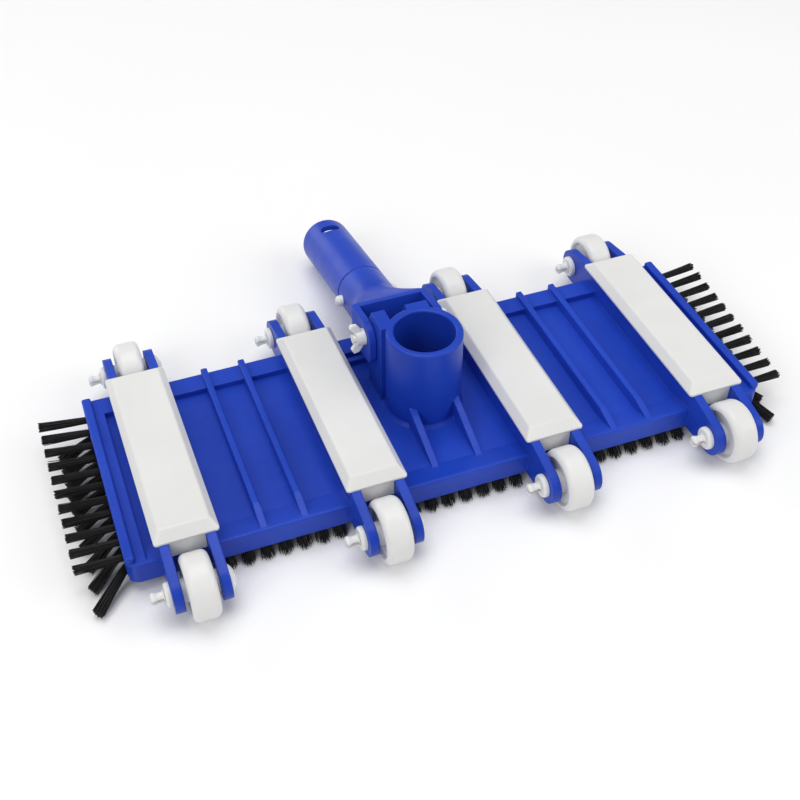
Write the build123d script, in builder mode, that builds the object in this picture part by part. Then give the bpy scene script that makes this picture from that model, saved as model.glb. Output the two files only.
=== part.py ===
from build123d import *
import os
from math import acos, cos, sin

# Weighted pool vacuum head. X runs along the head, Y towards the pole handle, Z up.
# Every piece is drawn with the hose neck on the Z axis and the wheels standing on Z = 0.
# Last of all the whole head is moved along Y, so that its box is centred on the origin.

# --- plate -----------------------------------------------------------------
plate_length = 328.6
plate_width = 113.6
skirt_bottom = 7.2
border_z = 18.6
floor_z = 15.2
floor_thickness = 2.6
skirt_wall = 2.6
end_block = 9.0            # solid ends that hold the side brushes
recess_length = 309.6
recess_back_y = 45.1
ramp_start_y = -43.5       # the floor rises to the front border from here
ramp_end_y = -55.0
front_corner = 5.5
back_corner = 1.5
edge_round = 0.8
lip_z = 21.6
lip_width = 4.6
rib_x = (80.5, 100.4)
rib_thickness = 3.4
rib_front_y = -42.0

# --- weight channels, covers and ballast -----------------------------------
inner_weight_x = 45.7
weight_pitch = 90.0
channel_half = 8.5
ear_thickness = 4.5
channel_top = 28.2
channel_reach = 57.0
ballast_reach = 53.2
ballast_height = 12.0
cover_width = 30.0
cover_length = 114.8
cover_band = 1.0
cover_top = 33.4
cover_bevel_x = 3.2
cover_bevel_y = 4.8
tongue_thickness = 2.6
cover_round = 1.4
cover_corner = 1.6

# --- wheels and axles --------------------------------------------------------
axle_y = 74.6
wheel_radius = 15.6
wheel_width = 13.2
hub_radius = 5.4
hub_length = 16.6
axle_radius = 3.0
ear_tip = 9.3
head_radius = 6.0
head_height = 3.2
cap_radius = 5.8
cap_thickness = 2.6
barb_reach = 22.2
prong_radius = 2.9
prong_split = 2.0
axle_play = 0.08
press_play = 0.03

# --- hose neck and pivot lugs ------------------------------------------------
neck_radius = 19.05
neck_bore = 15.2
neck_top = 62.6
pivot_y = 21.5
pivot_z = 49.0
bolt_radius = 2.4
lug_left = (-19.7, -12.8)
lug_right = (-2.0, 9.5)
lug_foot = (9.5, 13.5)     # lower part of the right lug, beside the yoke's arm
lug_foot_top = 54.5
lug_front_y = 8.2
lug_top_y = 22.0
lug_back_y = 26.5
lug_slope_z = 55.0
gusset_x = 11.5
gusset_root_y = -10.0        # inside the neck wall
gusset_top = 28.5
gusset_knee = (-18.5, 26.0)
gusset_end_y = -46.0
neck_flare = 1.5
rim_round = 1.1

# --- handle ------------------------------------------------------------------
handle_x = -3.1
rest_angle = 10.6          # the handle lies this far below level
yoke_half_gap = 16.9
arm_thickness = 3.6
arm_eye = 7.7
arm_heel = (-1.5, -9.0)    # centre of the arm's rounded lower front corner
heel_radius = 5.0
arm_top = 8.0
arm_bottom = -13.5
crossbar_front = 16.5
crossbar_back = 19.5
spigot_start = 46.0
spigot_end = 133.0
spigot_radius = 14.2
spigot_bore = 11.2
end_round = 3.6
spigot_drop = -9.9         # spigot axis below the pivot
button_t = 57.5
button_radius = 3.0
button_reach = 3.8
slot_t = 118.5
groove_t = (63.0, 64.2)    # shallow ring between the buttons and the pole's seat
groove_depth = 0.4

# --- brushes -----------------------------------------------------------------
tuft_root = 1.7
tuft_tip = 2.5
tuft_play = 0.04
tuft_depth = 6.0
tuft_stem = 12.5           # straight part of a tuft, at most
stem_share = 0.7
side_count = 11
side_pitch = 9.3
side_root_z = 15.0
side_reach = 188.0
lower_count = 10
lower_root_z = 10.2
lower_reach = 181.0
lower_tip_z = 3.4
lower_lean = (26.0, 20.0, 15.0, 11.0, 8.0)   # forward lean of the lower tufts, from the front corner
lower_lean_rest = 6.0
fan_narrowing = 0.25
under_y = 50.6
under_count = 7
under_pitch = 9.0
under_tip_z = 1.4

weight_x = [-inner_weight_x - weight_pitch, -inner_weight_x,
            inner_weight_x, inner_weight_x + weight_pitch]
half_length = plate_length / 2
half_width = plate_width / 2
ear_outer = channel_half + ear_thickness
floor_under = floor_z - floor_thickness


def upper_tufts(side):
    """Root point, direction and length of each tuft in an upper side row."""
    out = []
    for i in range(side_count):
        y = (i - (side_count - 1) / 2) * side_pitch
        root = Vector(side * (half_length - tuft_depth), y, side_root_z)
        tip = Vector(side * side_reach, y * 1.03, side_root_z + 2.0)
        out.append((root, tip))
    return out


def lower_tufts(side):
    """The lower row of a side leans down and forwards, most of all at the front corner."""
    out = []
    for i in range(lower_count):
        y = (i - (lower_count - 1) / 2) * side_pitch
        fan = lower_lean[i] if i < len(lower_lean) else lower_lean_rest
        root = Vector(side * (half_length - tuft_depth), y, lower_root_z)
        tip = Vector(side * (lower_reach - fan_narrowing * fan), y - fan, lower_tip_z)
        out.append((root, tip))
    return out


def under_tufts(side):
    """The short tufts under the front or the back edge, in the three bays between the weights."""
    out = []
    for bay in (-2 * inner_weight_x, 0.0, 2 * inner_weight_x):
        for i in range(under_count):
            x = bay + (i - (under_count - 1) / 2) * under_pitch
            root = Vector(x, side * under_y, floor_under)
            tip = Vector(x, side * (under_y + 3.0), under_tip_z)
            out.append((root, tip))
    return out


def tuft_plane(root, tip):
    """The plane at a tuft's root that faces along the tuft."""
    return Plane(origin=root, z_dir=tip - root)


def dome(x, radius, height):
    """A spherical cap's meridian from (x, radius) to its top on the X axis."""
    ball = (radius ** 2 + height ** 2) / (2 * height)
    half_angle = acos((ball - height) / ball) / 2
    middle = (x + height - ball + ball * cos(half_angle), ball * sin(half_angle))
    ThreePointArc((x, radius), middle, (x + height, 0))


# --- base plate: tray, ribs, channels, ears, hose neck and lugs --------------
with BuildPart() as base_plate:
    with BuildSketch(Plane.XY.offset(skirt_bottom)):
        Rectangle(plate_length, plate_width)
    extrude(amount=border_z - skirt_bottom)
    upright = base_plate.edges().filter_by(Axis.Z)
    fillet(upright.filter_by_position(Axis.Y, -half_width - 1, -half_width + 1), front_corner)
    upright = base_plate.edges().filter_by(Axis.Z)
    fillet(upright.filter_by_position(Axis.Y, half_width - 1, half_width + 1), back_corner)
    fillet(base_plate.edges().group_by(Axis.Z)[-1], edge_round)
    # open underside
    with BuildSketch(Plane.XY.offset(skirt_bottom)):
        RectangleRounded(plate_length - 2 * end_block, plate_width - 2 * skirt_wall, 3.0)
    extrude(amount=floor_under - skirt_bottom, mode=Mode.SUBTRACT)
    # shallow top recess with a sloping front
    with BuildSketch(Plane.YZ.offset(-recess_length / 2)):
        Polygon((recess_back_y, border_z), (recess_back_y, floor_z), (ramp_start_y, floor_z),
                (ramp_end_y, border_z), align=None)
    extrude(amount=recess_length, mode=Mode.SUBTRACT)
    # raised lip at each end
    for side in (-1, 1):
        with BuildSketch(Plane.XY.offset(border_z)):
            with Locations((side * (half_length - lip_width / 2), 0.6)):
                RectangleRounded(lip_width, plate_width - 3.0, 1.2)
        extrude(amount=lip_z - border_z)
        fillet(base_plate.edges(Select.LAST).group_by(Axis.Z)[-1], edge_round)
    # long ribs between the weight channels
    for x in (-rib_x[1], -rib_x[0], rib_x[0], rib_x[1]):
        with BuildSketch(Plane.YZ.offset(x - rib_thickness / 2)):
            Polygon((half_width, floor_z - 1), (half_width, lip_z), (rib_front_y, lip_z),
                    (ramp_end_y, border_z), (ramp_end_y, floor_z - 1), align=None)
        extrude(amount=rib_thickness)
        fillet(base_plate.edges(Select.LAST).filter_by(Axis.Y).group_by(Axis.Z)[-1], edge_round)
    # low rib behind the neck
    with BuildSketch(Plane.XY.offset(floor_z - 1)):
        with Locations((0, 39.5)):
            Rectangle(2 * inner_weight_x - 2 * channel_half, 2.8)
    extrude(amount=border_z - floor_z + 1)
    # channel walls that run out into the wheel ears
    for cx in weight_x:
        for x in (cx - ear_outer, cx + channel_half):
            with BuildSketch(Plane.YZ.offset(x)):
                with Locations((-axle_y, wheel_radius), (axle_y, wheel_radius)):
                    Circle(ear_tip)
                with Locations((0, (channel_top + floor_z) / 2)):
                    Rectangle(2 * channel_reach, channel_top - floor_z)
                make_hull()
            extrude(amount=ear_thickness)
        with BuildSketch(Plane.XY.offset(floor_z)):
            with Locations((cx, 0)):
                Rectangle(2 * channel_half, 2 * ballast_reach)
        extrude(amount=channel_top, mode=Mode.SUBTRACT)
    # hose neck
    with BuildSketch(Plane.XY.offset(floor_under)):
        Circle(neck_radius)
        Circle(neck_bore, mode=Mode.SUBTRACT)
    extrude(amount=neck_top - floor_under)
    fillet(base_plate.edges(Select.LAST).group_by(Axis.Z)[-1], rim_round)
    with BuildSketch(Plane.XY.offset(floor_z)):
        Circle(neck_radius + neck_flare)
    extrude(amount=neck_flare, taper=44.9)
    # lugs for the pivot, one each side behind the neck
    for x0, x1, y0 in ((*lug_left, lug_front_y), (*lug_right, neck_bore + 1)):
        with BuildSketch(Plane.YZ.offset(x0)):
            Polygon((y0, floor_z), (y0, neck_top), (lug_top_y, neck_top), (lug_back_y, lug_slope_z),
                    (lug_back_y, floor_z), align=None)
        extrude(amount=x1 - x0)
    with BuildSketch(Plane.YZ.offset(lug_foot[0])):
        Polygon((lug_front_y, floor_z), (lug_front_y, lug_foot_top), (lug_back_y, lug_foot_top),
                (lug_back_y, floor_z), align=None)
    extrude(amount=lug_foot[1] - lug_foot[0])
    # gussets in front of the neck
    for x in (-gusset_x, gusset_x):
        with BuildSketch(Plane.YZ.offset(x - rib_thickness / 2)):
            Polygon((gusset_root_y, floor_z - 1), (gusset_root_y, gusset_top), gusset_knee,
                    (gusset_end_y, floor_z + 0.6), (gusset_end_y, floor_z - 1), align=None)
        extrude(amount=rib_thickness)
    # the bore runs through to the open underside
    with BuildSketch(Plane.XY.offset(skirt_bottom)):
        Circle(neck_bore)
    extrude(amount=neck_top, mode=Mode.SUBTRACT)
    # bars under the front and back that hold the lower brushes
    for side in (-1, 1):
        for bay in (-2 * inner_weight_x, 0.0, 2 * inner_weight_x):
            with BuildSketch(Plane.XY.offset(floor_under - 3.4)):
                with Locations((bay, side * (under_y + 0.6))):
                    Rectangle(2 * (inner_weight_x - ear_outer) + 0.4, 8.0)
            extrude(amount=3.6)
    # axle holes and pivot hole
    for cx in weight_x:
        for y in (-axle_y, axle_y):
            with BuildSketch(Plane.YZ.offset(cx - ear_outer - 1)):
                with Locations((y, wheel_radius)):
                    Circle(axle_radius + press_play)
            extrude(amount=2 * ear_outer + 2, mode=Mode.SUBTRACT)
    with BuildSketch(Plane.YZ.offset(lug_left[0] - 1)):
        with Locations((pivot_y, pivot_z)):
            Circle(bolt_radius + 0.05)
    extrude(amount=lug_foot[1] - lug_left[0] + 2, mode=Mode.SUBTRACT)
    # brush sockets
    for side in (-1, 1):
        for root, tip in upper_tufts(side) + lower_tufts(side):
            with Locations(tuft_plane(root, tip).location):
                Cylinder(tuft_root + tuft_play, tuft_depth + 7,
                         align=(Align.CENTER, Align.CENTER, Align.MIN), mode=Mode.SUBTRACT)
        for root, tip in under_tufts(side):
            with Locations(tuft_plane(root, tip).location):
                Cylinder(tuft_root + tuft_play, 6,
                         align=(Align.CENTER, Align.CENTER, Align.MIN), mode=Mode.SUBTRACT)


def weight_cover(cx):
    with BuildPart() as cover:
        with BuildSketch(Plane.XY.offset(channel_top)):
            RectangleRounded(cover_width, cover_length, cover_corner)
        extrude(amount=cover_band)
        with BuildSketch(Plane.XY.offset(channel_top + cover_band)):
            RectangleRounded(cover_width, cover_length, cover_corner)
        with BuildSketch(Plane.XY.offset(cover_top)):
            RectangleRounded(cover_width - 2 * cover_bevel_x, cover_length - 2 * cover_bevel_y, cover_corner)
        loft()
        fillet(cover.edges().group_by(Axis.Z)[-1], cover_round)
        for side in (-1, 1):
            with BuildSketch(Plane.XY.offset(border_z + 0.15)):
                with Locations((0, side * (channel_reach - tongue_thickness / 2))):
                    Rectangle(2 * channel_half - 0.3, tongue_thickness)
            extrude(amount=channel_top - border_z)
        with BuildSketch(Plane.XY.offset(channel_top)):
            Rectangle(2 * channel_half - 1.0, 2 * ballast_reach - 4.0)
        extrude(amount=2.6, mode=Mode.SUBTRACT)
    return Pos(cx, 0, 0) * cover.part


def ballast(cx):
    with BuildPart() as block:
        with BuildSketch(Plane.XY.offset(floor_z + 0.02)):
            RectangleRounded(2 * channel_half - 0.7, 2 * ballast_reach - 0.9, 1.0)
        extrude(amount=ballast_height)
        chamfer(block.edges().group_by(Axis.Z)[-1], 0.6)
    return Pos(cx, 0, 0) * block.part


def wheel(cx, y):
    half = wheel_width / 2
    with BuildPart() as tyre:
        with BuildSketch(Plane.XY):
            with BuildLine():
                Polyline((-hub_length / 2, axle_radius + axle_play), (-hub_length / 2, hub_radius),
                         (-half + 1.9, hub_radius + 0.5), (-half + 1.9, wheel_radius - 4.4),
                         (-half + 0.4, wheel_radius - 3.7), (-half, wheel_radius - 3.2))
                ThreePointArc((-half, wheel_radius - 3.2), (-half + 0.95, wheel_radius - 0.95),
                              (-half + 3.2, wheel_radius))
                Line((-half + 3.2, wheel_radius), (half - 3.2, wheel_radius))
                ThreePointArc((half - 3.2, wheel_radius), (half - 0.95, wheel_radius - 0.95),
                              (half, wheel_radius - 3.2))
                Polyline((half, wheel_radius - 3.2), (half - 0.4, wheel_radius - 3.7),
                         (half - 1.9, wheel_radius - 4.4), (half - 1.9, hub_radius + 0.5),
                         (hub_length / 2, hub_radius), (hub_length / 2, axle_radius + axle_play),
                         (-hub_length / 2, axle_radius + axle_play))
            make_face()
        revolve(axis=Axis.X)
    return Pos(cx, y, wheel_radius) * tyre.part


def axle_pin(cx, y):
    with BuildPart() as pin:
        with BuildSketch(Plane.XY):
            with BuildLine():
                tip_x = -barb_reach + prong_radius / 2
                cap_x = -ear_outer - cap_thickness - 0.3
                Line((-barb_reach, 0), (-barb_reach, prong_radius / 2))
                RadiusArc((-barb_reach, prong_radius / 2), (tip_x, prong_radius), prong_radius / 2)
                Polyline((tip_x, prong_radius), (tip_x + 1.6, prong_radius - 0.5),
                         (cap_x - 0.8, prong_radius - 0.5), (cap_x - 0.2, axle_radius + 0.4),
                         (cap_x, axle_radius), (ear_outer + 0.1, axle_radius),
                         (ear_outer + 0.1, head_radius), (ear_outer + 0.7, head_radius))
                dome(ear_outer + 0.7, head_radius, head_height - 0.6)
                Line((ear_outer + 0.1 + head_height, 0), (-barb_reach, 0))
            make_face()
        revolve(axis=Axis.X)
        with BuildSketch(Plane.XZ.offset(-5)):
            with Locations((-barb_reach + 2.8, 0)):
                Rectangle(7.0, prong_split)
        extrude(amount=10, mode=Mode.SUBTRACT)
    return Pos(cx, y, wheel_radius) * pin.part


def axle_cap(cx, y):
    with BuildPart() as cap:
        with BuildSketch(Plane.YZ.offset(-ear_outer - 0.15 - cap_thickness)):
            Circle(cap_radius)
            Circle(axle_radius + press_play, mode=Mode.SUBTRACT)
        extrude(amount=cap_thickness)
        fillet(cap.edges().filter_by(GeomType.CIRCLE).group_by(Axis.X)[0].sort_by(SortBy.RADIUS)[-1], 1.4)
    return Pos(cx, y, wheel_radius) * cap.part


# --- handle: yoke and pole spigot, drawn level with the pivot at the origin ---
with BuildPart() as handle_yoke:
    middle = (arm_top + arm_bottom) / 2
    outer_width = 2 * (yoke_half_gap + arm_thickness)
    for x in (-yoke_half_gap - arm_thickness, yoke_half_gap):
        with BuildSketch(Plane.YZ.offset(x)):
            Circle(arm_eye)
            with Locations(arm_heel):
                Circle(heel_radius)
            with Locations(((crossbar_front + crossbar_back) / 2, middle)):
                Rectangle(crossbar_back - crossbar_front, arm_top - arm_bottom)
            make_hull()
        extrude(amount=arm_thickness)
    with BuildSketch(Plane.XZ.offset(-crossbar_front)):
        with Locations((0, middle)):
            RectangleRounded(outer_width, arm_top - arm_bottom, 1.2)
    extrude(amount=crossbar_front - crossbar_back)
    # the crossbar flares into the round spigot
    with BuildSketch(Plane.XZ.offset(-crossbar_back)):
        with Locations((0, middle)):
            RectangleRounded(outer_width, arm_top - arm_bottom, 1.2)
    with BuildSketch(Plane.XZ.offset(-crossbar_back - 7)):
        with Locations((0, -4.8)):
            RectangleRounded(35.4, 22.6, 8.0)
    with BuildSketch(Plane.XZ.offset(-crossbar_back - 15)):
        with Locations((0, -7.9)):
            RectangleRounded(31.0, 25.4, 11.6)
    with BuildSketch(Plane.XZ.offset(-spigot_start)):
        with Locations((0, spigot_drop)):
            RectangleRounded(2 * spigot_radius - 0.3, 2 * spigot_radius - 0.3, spigot_radius - 0.8)
    loft()
    with BuildSketch(Plane.XY.offset(spigot_drop)):
        with BuildLine():
            Polyline((0, spigot_start - 4.0), (spigot_radius, spigot_start - 4.0),
                     (spigot_radius, spigot_end - end_round))
            RadiusArc((spigot_radius, spigot_end - end_round),
                      (spigot_radius - end_round, spigot_end), -end_round)
            Polyline((spigot_radius - end_round, spigot_end), (0, spigot_end),
                     (0, spigot_start - 4.0))
        make_face()
    revolve(axis=Axis((0, 0, spigot_drop), (0, 1, 0)))
    # ring that marks how far the pole slides on
    with BuildSketch(Plane.XZ.offset(-groove_t[0])):
        with Locations((0, spigot_drop)):
            Circle(spigot_radius + 1)
            Circle(spigot_radius - groove_depth, mode=Mode.SUBTRACT)
    extrude(amount=groove_t[0] - groove_t[1], mode=Mode.SUBTRACT)
    # hollow spigot
    with BuildSketch(Plane.XZ.offset(-spigot_start + 1.0)):
        with Locations((0, spigot_drop)):
            Circle(spigot_bore)
    extrude(amount=-(spigot_end - spigot_start + 2.0), mode=Mode.SUBTRACT)
    # snap button holes
    with BuildSketch(Plane.YZ.offset(-spigot_radius - 5)):
        with Locations((button_t, spigot_drop)):
            Circle(button_radius + 0.1)
    extrude(amount=2 * spigot_radius + 10, mode=Mode.SUBTRACT)
    # slot near the open end
    with BuildSketch(Plane.XY.offset(spigot_drop)):
        with Locations((0, slot_t)):
            SlotOverall(11.0, 6.6)
    extrude(amount=20, mode=Mode.SUBTRACT)
    # pivot hole
    with BuildSketch(Plane.YZ.offset(-30)):
        Circle(bolt_radius + 0.06)
    extrude(amount=60, mode=Mode.SUBTRACT)

with BuildPart() as pivot_bolt:
    with BuildSketch(Plane.YZ.offset(-yoke_half_gap - arm_thickness - 6.6)):
        Circle(bolt_radius)
    extrude(amount=2 * (yoke_half_gap + arm_thickness) + 6.8)
    with BuildSketch(Plane.YZ.offset(yoke_half_gap + arm_thickness + 0.15)):
        Circle(4.9)
    extrude(amount=3.2)
    fillet(pivot_bolt.edges().group_by(Axis.X)[-1], 1.6)

with BuildPart() as wing_nut:
    nut_x = -yoke_half_gap - arm_thickness - 0.15
    with BuildSketch(Plane.YZ.offset(nut_x)):
        Circle(4.3)
    extrude(amount=-4.6, taper=6)
    with BuildSketch(Plane.XZ.offset(-1.3)):
        for side in (-1, 1):
            Polygon((nut_x - 0.4, side * 2.0), (nut_x - 1.2, side * 4.4), (nut_x - 3.6, side * 7.4),
                    (nut_x - 6.4, side * 7.9), (nut_x - 7.4, side * 6.0), (nut_x - 4.2, side * 2.0),
                    align=None)
    extrude(amount=2.6)
    fillet(wing_nut.edges().filter_by(Axis.Y), 0.7)
    with BuildSketch(Plane.YZ.offset(nut_x + 1)):
        Circle(bolt_radius + 0.04)
    extrude(amount=-12, mode=Mode.SUBTRACT)

# --- spring clip and its two snap buttons inside the spigot -------------------
leaf_x = 9.2
leaf_half = 0.45
leaf_width = 5.2
leaf_tail = 4.0            # the leaf runs this far past the buttons
bend_t = 98.0
bend_radius = 5.0
with BuildPart() as spring_clip:
    with BuildSketch(Plane.XY.offset(spigot_drop - leaf_width / 2)):
        with BuildLine():
            leaf_end = button_t + leaf_tail + 1
            for offset in (leaf_half, -leaf_half):
                Line((leaf_x + offset, button_t - leaf_tail), (leaf_x + offset, leaf_end))
                Line((leaf_x + offset, leaf_end), (bend_radius + offset, bend_t))
                ThreePointArc((bend_radius + offset, bend_t), (0, bend_t + bend_radius + offset),
                              (-bend_radius - offset, bend_t))
                Line((-bend_radius - offset, bend_t), (-leaf_x - offset, leaf_end))
                Line((-leaf_x - offset, leaf_end), (-leaf_x - offset, button_t - leaf_tail))
            for side in (-1, 1):
                Line((side * (leaf_x - leaf_half), button_t - leaf_tail),
                     (side * (leaf_x + leaf_half), button_t - leaf_tail))
        make_face()
    extrude(amount=leaf_width)


def snap_button(side):
    with BuildPart() as button:
        with BuildSketch(Plane.XY):
            with BuildLine():
                x0 = leaf_x + leaf_half + 0.02
                x1 = spigot_radius + button_reach
                Polyline((x0, 0), (x0, button_radius), (x1 - 2.0, button_radius))
                dome(x1 - 2.0, button_radius, 2.0)
                Line((x1, 0), (x0, 0))
            make_face()
        revolve(axis=Axis.X)
    part = Pos(0, button_t, spigot_drop) * button.part
    return part if side > 0 else part.mirror(Plane.YZ)


# place everything that belongs to the handle
place = Pos(handle_x, pivot_y, pivot_z) * Rot(-rest_angle, 0, 0)
parts = {
    "base_plate": base_plate.part,
    "handle_yoke": place * handle_yoke.part,
    "pivot_bolt": place * pivot_bolt.part,
    "wing_nut": place * wing_nut.part,
    "spring_clip": place * spring_clip.part,
    "snap_button_left": place * snap_button(-1),
    "snap_button_right": place * snap_button(1),
}
for i, cx in enumerate(weight_x, 1):
    parts[f"weight_cover_{i}"] = weight_cover(cx)
    parts[f"ballast_{i}"] = ballast(cx)
    for end, y in (("front", -axle_y), ("rear", axle_y)):
        parts[f"wheel_{end}_{i}"] = wheel(cx, y)
        parts[f"axle_pin_{end}_{i}"] = axle_pin(cx, y)
        parts[f"axle_cap_{end}_{i}"] = axle_cap(cx, y)


def bristles(tufts):
    with BuildPart() as rows:
        for root, tip in tufts:
            stem = tuft_plane(root, tip)
            length = (tip - root).length
            straight = min(tuft_stem, stem_share * length)
            flare = stem.offset(straight)
            with Locations(stem.location):
                Cylinder(tuft_root, straight, align=(Align.CENTER, Align.CENTER, Align.MIN))
            with Locations(flare.location):
                Cone(tuft_root, tuft_tip, length - straight,
                     align=(Align.CENTER, Align.CENTER, Align.MIN))
    return rows.part


for side, word in ((-1, "left"), (1, "right")):
    parts[f"side_bristles_{word}"] = bristles(upper_tufts(side) + lower_tufts(side))
for side, word in ((-1, "front"), (1, "rear")):
    parts[f"under_bristles_{word}"] = bristles(under_tufts(side))

# the origin is under the middle of the whole head and handle, on the ground
handle_back = parts["handle_yoke"].bounding_box().max.Y
frame_y = (axle_y + wheel_radius - handle_back) / 2
print("neck axis at y =", round(frame_y, 3))

os.makedirs("parts", exist_ok=True)
for name, shape in parts.items():
    piece = Pos(0, frame_y, 0) * shape
    piece.label = name
    export_step(piece, f"parts/{name}.step")
    print(name, round(piece.volume / 1000, 2), "cm3")
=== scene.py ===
import math
import random

import bpy
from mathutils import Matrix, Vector


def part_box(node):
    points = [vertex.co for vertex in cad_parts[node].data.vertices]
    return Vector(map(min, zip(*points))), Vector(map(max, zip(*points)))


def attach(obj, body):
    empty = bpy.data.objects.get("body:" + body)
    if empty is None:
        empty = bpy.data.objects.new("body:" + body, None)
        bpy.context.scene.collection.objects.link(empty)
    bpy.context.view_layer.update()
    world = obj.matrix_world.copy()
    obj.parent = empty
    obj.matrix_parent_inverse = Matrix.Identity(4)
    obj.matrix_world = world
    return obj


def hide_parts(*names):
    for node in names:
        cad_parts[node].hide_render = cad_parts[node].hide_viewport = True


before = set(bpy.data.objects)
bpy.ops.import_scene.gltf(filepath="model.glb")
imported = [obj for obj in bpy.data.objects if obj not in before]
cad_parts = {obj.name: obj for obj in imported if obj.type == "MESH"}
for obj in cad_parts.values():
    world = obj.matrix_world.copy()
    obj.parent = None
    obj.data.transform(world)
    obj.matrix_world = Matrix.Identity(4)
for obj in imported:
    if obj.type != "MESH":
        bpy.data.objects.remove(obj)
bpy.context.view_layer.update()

neckY = sum(c.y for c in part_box("weight_cover_1")) / 2  # the covers lie evenly either side of the neck
print("frame loaded with", len(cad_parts), "nodes, neck at y", round(neckY, 4))


# small helpers for node trees

def startMaterial(name):
    material = bpy.data.materials.new(name)
    material.use_nodes = True
    tree = material.node_tree
    shader = tree.nodes["Principled BSDF"]
    coords = tree.nodes.new("ShaderNodeTexCoord").outputs["Object"]
    return material, tree, shader, coords


def stretched(tree, coords, scale):
    mapping = tree.nodes.new("ShaderNodeMapping")
    mapping.inputs["Scale"].default_value = scale
    tree.links.new(coords, mapping.inputs["Vector"])
    return mapping.outputs["Vector"]


def cloud(tree, coords, scale, detail=2.0, rough=0.5, twist=0.0):
    node = tree.nodes.new("ShaderNodeTexNoise")
    node.inputs["Scale"].default_value = scale
    node.inputs["Detail"].default_value = detail
    node.inputs["Roughness"].default_value = rough
    node.inputs["Distortion"].default_value = twist
    tree.links.new(coords, node.inputs["Vector"])
    return node.outputs["Fac"]


def remap(tree, value, fromLow, fromHigh, toLow, toHigh):
    node = tree.nodes.new("ShaderNodeMapRange")
    node.inputs["From Min"].default_value = fromLow
    node.inputs["From Max"].default_value = fromHigh
    node.inputs["To Min"].default_value = toLow
    node.inputs["To Max"].default_value = toHigh
    tree.links.new(value, node.inputs["Value"])
    return node.outputs["Result"]


def arithmetic(tree, operation, first, second):
    node = tree.nodes.new("ShaderNodeMath")
    node.operation = operation
    for socket, value in zip(node.inputs, (first, second)):
        if isinstance(value, (int, float)):
            socket.default_value = value
        else:
            tree.links.new(value, socket)
    return node.outputs["Value"]


def blendColour(tree, factor, first, second):
    node = tree.nodes.new("ShaderNodeMix")
    node.data_type = "RGBA"
    tree.links.new(factor, node.inputs[0])
    for socket, value in ((node.inputs[6], first), (node.inputs[7], second)):
        if isinstance(value, tuple):
            socket.default_value = (*value, 1.0)
        else:
            tree.links.new(value, socket)
    return node.outputs[2]


def relief(tree, height, depth, under=None):
    node = tree.nodes.new("ShaderNodeBump")
    node.inputs["Distance"].default_value = depth
    tree.links.new(height, node.inputs["Height"])
    if under is not None:
        tree.links.new(under, node.inputs["Normal"])
    return node.outputs["Normal"]


# moulded plastic: clouded colour, worn edges, faint sink waves and a fine grain

moulding = {
    "edgeTurn": (0.99, 0.8), "chipScale": 900, "chipBand": (0.35, 0.7),
    "speckScale": 2600, "speckBand": (0.70, 0.76),
    "scratchScale": 260, "scratchBand": (0.56, 0.72),
    "glossScale": 70, "waveScale": 55, "middleBand": (0.3, 0.7),
}


def mouldedPlastic(name, look):
    material, tree, shader, coords = startMaterial(name)
    rounded = tree.nodes.new("ShaderNodeBevel")
    rounded.samples = 4
    rounded.inputs["Radius"].default_value = look["edgeRadius"]
    surface = tree.nodes.new("ShaderNodeNewGeometry").outputs["Normal"]
    turn = tree.nodes.new("ShaderNodeVectorMath")
    turn.operation = "DOT_PRODUCT"
    tree.links.new(rounded.outputs["Normal"], turn.inputs[0])
    tree.links.new(surface, turn.inputs[1])
    edge = remap(tree, turn.outputs["Value"], *moulding["edgeTurn"], 0.0, 1.0)
    chips = cloud(tree, coords, moulding["chipScale"], 4, 0.7)
    patchy = remap(tree, chips, *moulding["chipBand"], 0.0, 1.0)
    worn = arithmetic(tree, "MULTIPLY", arithmetic(tree, "MULTIPLY", edge, patchy), look["wear"])

    clouds = cloud(tree, coords, look["cloudScale"], 3, 0.55, 0.4)
    tone = remap(tree, clouds, *moulding["middleBand"], 0.0, 1.0)
    colour = blendColour(tree, tone, look["colour"], look["paler"])
    specks = cloud(tree, coords, moulding["speckScale"], 1)
    speck = remap(tree, specks, *moulding["speckBand"], 0.0, look["specks"])
    colour = blendColour(tree, speck, colour, look["speckColour"])
    colour = blendColour(tree, worn, colour, look["wornColour"])
    tree.links.new(colour, shader.inputs["Base Color"])

    streaks = cloud(tree, stretched(tree, coords, look["scratchRun"]), moulding["scratchScale"], 4, 0.75)
    scuff = remap(tree, streaks, *moulding["scratchBand"], 0.0, look["scuffs"])
    polish = cloud(tree, coords, moulding["glossScale"], 3, 0.6)
    gloss = remap(tree, polish, *moulding["middleBand"], *look["roughness"])
    tree.links.new(arithmetic(tree, "ADD", gloss, scuff), shader.inputs["Roughness"])

    sinks = cloud(tree, coords, moulding["waveScale"], 1)
    waves = relief(tree, sinks, look["waveDepth"], rounded.outputs["Normal"])
    grain = relief(tree, cloud(tree, coords, look["grainScale"], 2), look["grainDepth"], waves)
    tree.links.new(grain, shader.inputs["Normal"])
    shader.inputs["IOR"].default_value = 1.5
    shader.inputs["Specular IOR Level"].default_value = look["specular"]
    shader.inputs["Subsurface Weight"].default_value = look["translucence"]
    shader.inputs["Subsurface Scale"].default_value = 0.002
    return material


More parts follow.
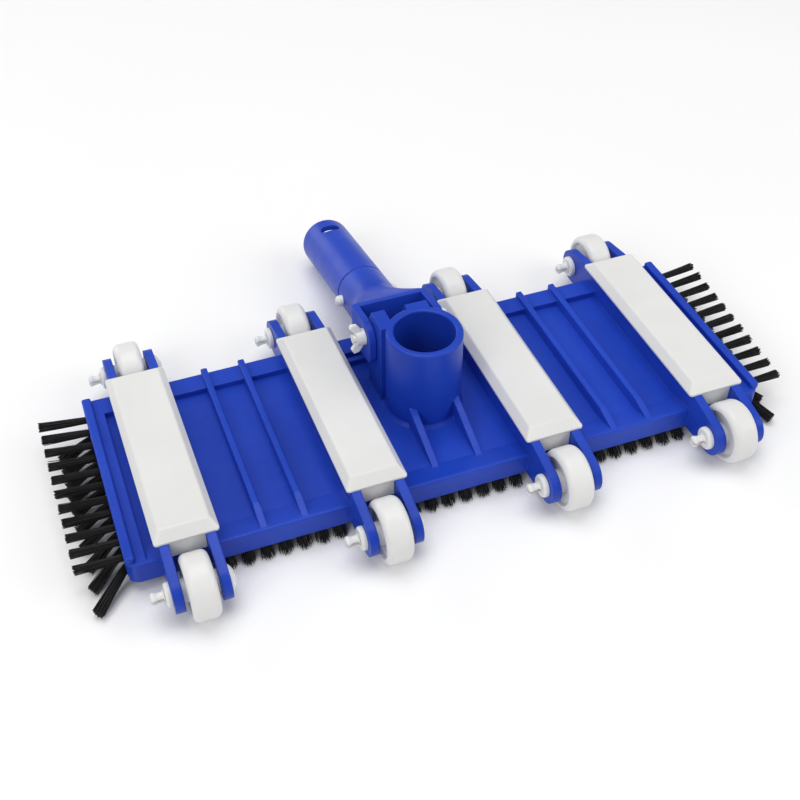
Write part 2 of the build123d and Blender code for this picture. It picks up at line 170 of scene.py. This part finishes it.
blueLook = {
    "colour": (0.009, 0.045, 0.41), "paler": (0.015, 0.061, 0.50), "cloudScale": 16,
    "wornColour": (0.06, 0.16, 0.66), "wear": 0.3, "edgeRadius": 0.0009,
    "specks": 0.25, "speckColour": (0.02, 0.08, 0.56), "scratchRun": (0.25, 1.6, 1.0),
    "roughness": (0.30, 0.42), "scuffs": 0.12, "waveDepth": 0.00022,
    "grainScale": 2200, "grainDepth": 0.000018, "specular": 0.24, "translucence": 0.0,
}
whiteLook = {
    "colour": (0.71, 0.71, 0.695), "paler": (0.755, 0.755, 0.74), "cloudScale": 22,
    "wornColour": (0.70, 0.69, 0.66), "wear": 0.3, "edgeRadius": 0.0005,
    "specks": 0.12, "speckColour": (0.60, 0.59, 0.55), "scratchRun": (1.2, 0.2, 1.0),
    "roughness": (0.34, 0.44), "scuffs": 0.12, "waveDepth": 0.00020,
    "grainScale": 1900, "grainDepth": 0.000022, "specular": 0.45, "translucence": 0.06,
}
wheelLook = dict(whiteLook, colour=(0.72, 0.72, 0.712), paler=(0.77, 0.77, 0.762),
                 scratchRun=(0.2, 1.0, 1.0), roughness=(0.28, 0.38), translucence=0.08)
pinLook = dict(whiteLook, colour=(0.72, 0.73, 0.72), paler=(0.80, 0.81, 0.80), roughness=(0.22, 0.32),
               translucence=0.2, edgeRadius=0.0003)

bluePlastic = mouldedPlastic("blueMoulding", blueLook)
coverPlastic = mouldedPlastic("coverWhite", whiteLook)
wheelPlastic = mouldedPlastic("wheelWhite", wheelLook)
pinPlastic = mouldedPlastic("pinNylon", pinLook)


# black nylon filament: each one has its own shade, and is drawn along its length

filamentLook = {
    "dark": (0.002, 0.002, 0.0025), "light": (0.009, 0.0085, 0.0085),
    "roughness": (0.34, 0.5), "sheenScale": 900, "drawnScale": 5000, "drawnDepth": 0.00001,
}


def filamentNylon():
    material, tree, shader, coords = startMaterial("blackNylon")
    own = tree.nodes.new("ShaderNodeNewGeometry").outputs["Random Per Island"]
    colour = blendColour(tree, own, filamentLook["dark"], filamentLook["light"])
    tree.links.new(colour, shader.inputs["Base Color"])
    sheen = cloud(tree, coords, filamentLook["sheenScale"], 2)
    rough = remap(tree, sheen, 0.3, 0.7, *filamentLook["roughness"])
    tree.links.new(rough, shader.inputs["Roughness"])
    drawn = cloud(tree, stretched(tree, coords, (0.1, 1.0, 1.0)), filamentLook["drawnScale"], 1)
    tree.links.new(relief(tree, drawn, filamentLook["drawnDepth"]), shader.inputs["Normal"])
    shader.inputs["Specular IOR Level"].default_value = 0.3
    return material


blackNylon = filamentNylon()


# cast iron ballast and the spring leaf, seen only from below or through the spigot

ironLook = {
    "dark": (0.03, 0.03, 0.032), "light": (0.11, 0.10, 0.095),
    "roughness": (0.45, 0.75), "skinScale": 700, "skinDepth": 0.00012,
}
steelLook = {
    "dark": (0.42, 0.42, 0.43), "light": (0.62, 0.62, 0.63),
    "roughness": (0.24, 0.4), "rollScale": 2600, "rollDepth": 0.00001,
}


def castIron():
    material, tree, shader, coords = startMaterial("castIron")
    skin = cloud(tree, coords, ironLook["skinScale"], 5, 0.7)
    colour = blendColour(tree, skin, ironLook["dark"], ironLook["light"])
    tree.links.new(colour, shader.inputs["Base Color"])
    tree.links.new(remap(tree, skin, 0.3, 0.7, *ironLook["roughness"]), shader.inputs["Roughness"])
    tree.links.new(relief(tree, skin, ironLook["skinDepth"]), shader.inputs["Normal"])
    shader.inputs["Metallic"].default_value = 0.6
    return material


def springSteel():
    material, tree, shader, coords = startMaterial("springSteel")
    rolled = cloud(tree, stretched(tree, coords, (1.0, 0.06, 1.0)), steelLook["rollScale"], 2, 0.6)
    colour = blendColour(tree, rolled, steelLook["dark"], steelLook["light"])
    tree.links.new(colour, shader.inputs["Base Color"])
    tree.links.new(remap(tree, rolled, 0.3, 0.7, *steelLook["roughness"]), shader.inputs["Roughness"])
    tree.links.new(relief(tree, rolled, steelLook["rollDepth"]), shader.inputs["Normal"])
    shader.inputs["Metallic"].default_value = 1.0
    return material


ironSkin = castIron()
steelLeaf = springSteel()
print("materials made")


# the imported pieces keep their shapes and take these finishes

def finishFor(nodeName):
    if nodeName in ("base_plate", "handle_yoke"):
        return bluePlastic
    if nodeName.startswith("weight_cover"):
        return coverPlastic
    if nodeName.startswith("wheel"):
        return wheelPlastic
    if nodeName.startswith("ballast"):
        return ironSkin
    if nodeName == "spring_clip":
        return steelLeaf
    if "bristles" in nodeName:
        return blackNylon
    return pinPlastic


for nodeName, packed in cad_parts.items():
    packed.material_slots[0].material = finishFor(nodeName)


# brushes: every tuft is a bundle of loose filaments

brush = {
    "filaments": 60, "filamentRadius": 0.00021, "sides": 5, "steps": 5,
    "rootSpread": 0.00145, "tipSpread": 0.0022, "lowerSplay": 1.3, "underSplay": 1.6,
    "straying": 0.00022, "bend": 0.0007, "unevenCut": 0.0005,
    "plateEnd": 0.1643, "sunk": 0.006, "pitch": 0.0093, "upperFan": 1.03,
    "upperCount": 11, "upperRootZ": 0.015, "upperTip": (0.1875, 0.017),
    "wornFront": {-1: 0.001, 1: 0.0065},  # the front tufts of a side are this much shorter
    "lowerCount": 10, "lowerRootZ": 0.0102, "lowerTip": (0.181, 0.0034),
    "lowerLean": (0.021, 0.0165, 0.013, 0.010, 0.008), "lowerLeanRest": 0.006,  # from the front corner
    "fanNarrowing": {-1: 0.0, 1: 0.55}, "forwardCurl": 0.002,
    "bays": (-0.0914, 0.0, 0.0914), "underCount": 7, "underPitch": 0.009,
    "underY": 0.0506, "underLean": 0.0065, "underRootZ": 0.0126, "underTipZ": 0.0014,
}


def sideTufts(side):
    rootX = side * (brush["plateEnd"] - brush["sunk"])
    straight = Vector((0, 0, 0))
    forward = Vector((0, -brush["forwardCurl"], 0))
    tufts = []
    for i in range(brush["upperCount"]):
        y = (i - (brush["upperCount"] - 1) / 2) * brush["pitch"]
        tipX, tipZ = brush["upperTip"]
        tipX -= brush["wornFront"][side] * (1 - i / (brush["upperCount"] - 1))
        tip = Vector((side * tipX, neckY + y * brush["upperFan"], tipZ))
        root = Vector((rootX, neckY + y, brush["upperRootZ"]))
        tufts.append((root, tip, straight, 1.0))
    for i in range(brush["lowerCount"]):
        y = (i - (brush["lowerCount"] - 1) / 2) * brush["pitch"]
        lean = brush["lowerLean"][i] if i < len(brush["lowerLean"]) else brush["lowerLeanRest"]
        tipX, tipZ = brush["lowerTip"]
        tip = Vector((side * (tipX - lean * brush["fanNarrowing"][side]), neckY + y - lean, tipZ))
        root = Vector((rootX, neckY + y, brush["lowerRootZ"]))
        tufts.append((root, tip, forward, brush["lowerSplay"]))
    return tufts


def underTufts(side):
    outward = Vector((0, side * brush["underLean"], 0))
    tufts = []
    for bay in brush["bays"]:
        for i in range(brush["underCount"]):
            x = bay + (i - (brush["underCount"] - 1) / 2) * brush["underPitch"]
            root = Vector((x, neckY + side * brush["underY"], brush["underRootZ"]))
            tip = Vector((x, root.y, brush["underTipZ"]))
            tufts.append((root, tip, outward, brush["underSplay"]))
    return tufts


def addFilament(points, faces, path, radius, sides):
    start = len(points)
    along = (path[-1] - path[0]).normalized()
    across = along.orthogonal().normalized()
    other = along.cross(across)
    for middle in path:
        for k in range(sides):
            angle = 2 * math.pi * k / sides
            points.append(middle + radius * (math.cos(angle) * across + math.sin(angle) * other))
    for ring in range(len(path) - 1):
        low = start + ring * sides
        for k in range(sides):
            after = (k + 1) % sides
            faces.append((low + k, low + after, low + sides + after, low + sides + k))
    faces.append(tuple(range(start + sides - 1, start - 1, -1)))
    last = start + (len(path) - 1) * sides
    faces.append(tuple(range(last, last + sides)))


def addTuft(points, faces, root, tip, lean, splay, dice):
    along = (tip - root).normalized()
    across = along.orthogonal().normalized()
    other = along.cross(across)
    sag = Vector((0, 0, -1)) * brush["bend"] * dice.uniform(0.2, 1.0)
    wind = dice.uniform(0, 2 * math.pi)
    for k in range(brush["filaments"]):
        reach = math.sqrt((k + 0.5) / brush["filaments"])  # sunflower packing fills the round socket evenly
        angle = wind + k * math.pi * (3 - math.sqrt(5))
        outward = math.cos(angle) * across + math.sin(angle) * other
        start = root + outward * reach * brush["rootSpread"]
        stray = Vector([dice.gauss(0, brush["straying"]) for _ in range(3)])
        end = tip + outward * reach * brush["tipSpread"] * splay + stray
        end += along * dice.uniform(-1, 0.2) * brush["unevenCut"]
        bow = sag + outward * dice.uniform(-0.4, 0.6) * brush["bend"]
        path = []
        for step in range(brush["steps"] + 1):
            s = step / brush["steps"]
            path.append(start.lerp(end, s) + lean * s * s + bow * 2 * s * (1 - s))
        addFilament(points, faces, path, brush["filamentRadius"], brush["sides"])


def makeBrush(name, tufts, node, seed):
    dice = random.Random(seed)
    points, faces = [], []
    for root, tip, lean, splay in tufts:
        addTuft(points, faces, root, tip, lean, splay, dice)
    mesh = bpy.data.meshes.new(name)
    mesh.from_pydata(points, [], faces)
    mesh.materials.append(blackNylon)
    mesh.shade_smooth()
    piece = bpy.data.objects.new(name, mesh)
    bpy.context.scene.collection.objects.link(piece)
    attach(piece, "head")
    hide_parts(node)
    return piece


makeBrush("sideBrushLeft", sideTufts(-1), "side_bristles_left", 11)
makeBrush("sideBrushRight", sideTufts(1), "side_bristles_right", 12)
makeBrush("underBrushFront", underTufts(-1), "under_bristles_front", 13)
makeBrush("underBrushRear", underTufts(1), "under_bristles_rear", 14)
print("brushes made")


# camera, floor and lights

view = {
    "place": (-0.1701, -0.4023, 0.4355), "target": (-0.0073, 0.0295, 0.0),  # from the neck's foot
    "lens": 53.09, "shift": (0.01345, -0.01364),
}
camera = bpy.data.objects.new("camera", bpy.data.cameras.new("camera"))
bpy.context.scene.collection.objects.link(camera)
camera.location = Vector(view["place"]) + Vector((0, neckY, 0))
sight = Vector(view["target"]) - Vector(view["place"])
camera.rotation_euler = sight.to_track_quat("-Z", "Y").to_euler()
camera.data.lens = view["lens"]
camera.data.sensor_width = 36
camera.data.shift_x, camera.data.shift_y = view["shift"]
camera.data.clip_start = 0.01
bpy.context.scene.camera = camera

floorLook = {
    "size": 8.0, "colour": (0.90, 0.90, 0.90), "tone": (0.94, 0.94, 0.94),
    "toneScale": 3, "roughness": 0.8,
}
floorMesh = bpy.data.meshes.new("floor")
half = floorLook["size"] / 2
corners = [(-half, -half, 0), (half, -half, 0), (half, half, 0), (-half, half, 0)]
floorMesh.from_pydata(corners, [], [(0, 1, 2, 3)])
floorMaterial, tree, shader, coords = startMaterial("paleFloor")
floorTone = cloud(tree, coords, floorLook["toneScale"])
floorColour = blendColour(tree, floorTone, floorLook["colour"], floorLook["tone"])
tree.links.new(floorColour, shader.inputs["Base Color"])
shader.inputs["Roughness"].default_value = floorLook["roughness"]
floorMesh.materials.append(floorMaterial)
floor = bpy.data.objects.new("floor", floorMesh)
bpy.context.scene.collection.objects.link(floor)

lamps = {
    "left": {"place": (-1.45, -1.05, 1.35), "size": 1.3, "power": 15.0},
    "right": {"place": (1.5, -0.9, 1.15), "size": 1.3, "power": 12.0},
    "top": {"place": (-0.1, 0.2, 2.3), "size": 1.8, "power": 29.0},
    "rear": {"place": (-0.9, 1.9, 0.7), "size": 1.2, "power": 9.0},
}
for lampName, lamp in lamps.items():
    light = bpy.data.lights.new(lampName, "AREA")
    light.shape = "SQUARE"
    light.size = lamp["size"]
    light.energy = lamp["power"]
    holder = bpy.data.objects.new(lampName, light)
    bpy.context.scene.collection.objects.link(holder)
    holder.location = lamp["place"]
    holder.rotation_euler = (-Vector(lamp["place"])).to_track_quat("-Z", "Y").to_euler()

studio = {"colour": (1, 1, 1, 1), "strength": 0.30}
world = bpy.data.worlds.new("studio")
world.use_nodes = True
background = world.node_tree.nodes["Background"]
background.inputs["Color"].default_value = studio["colour"]
background.inputs["Strength"].default_value = studio["strength"]
bpy.context.scene.world = world
bpy.context.scene.view_settings.view_transform = "Standard"
print("camera, floor and lights set")
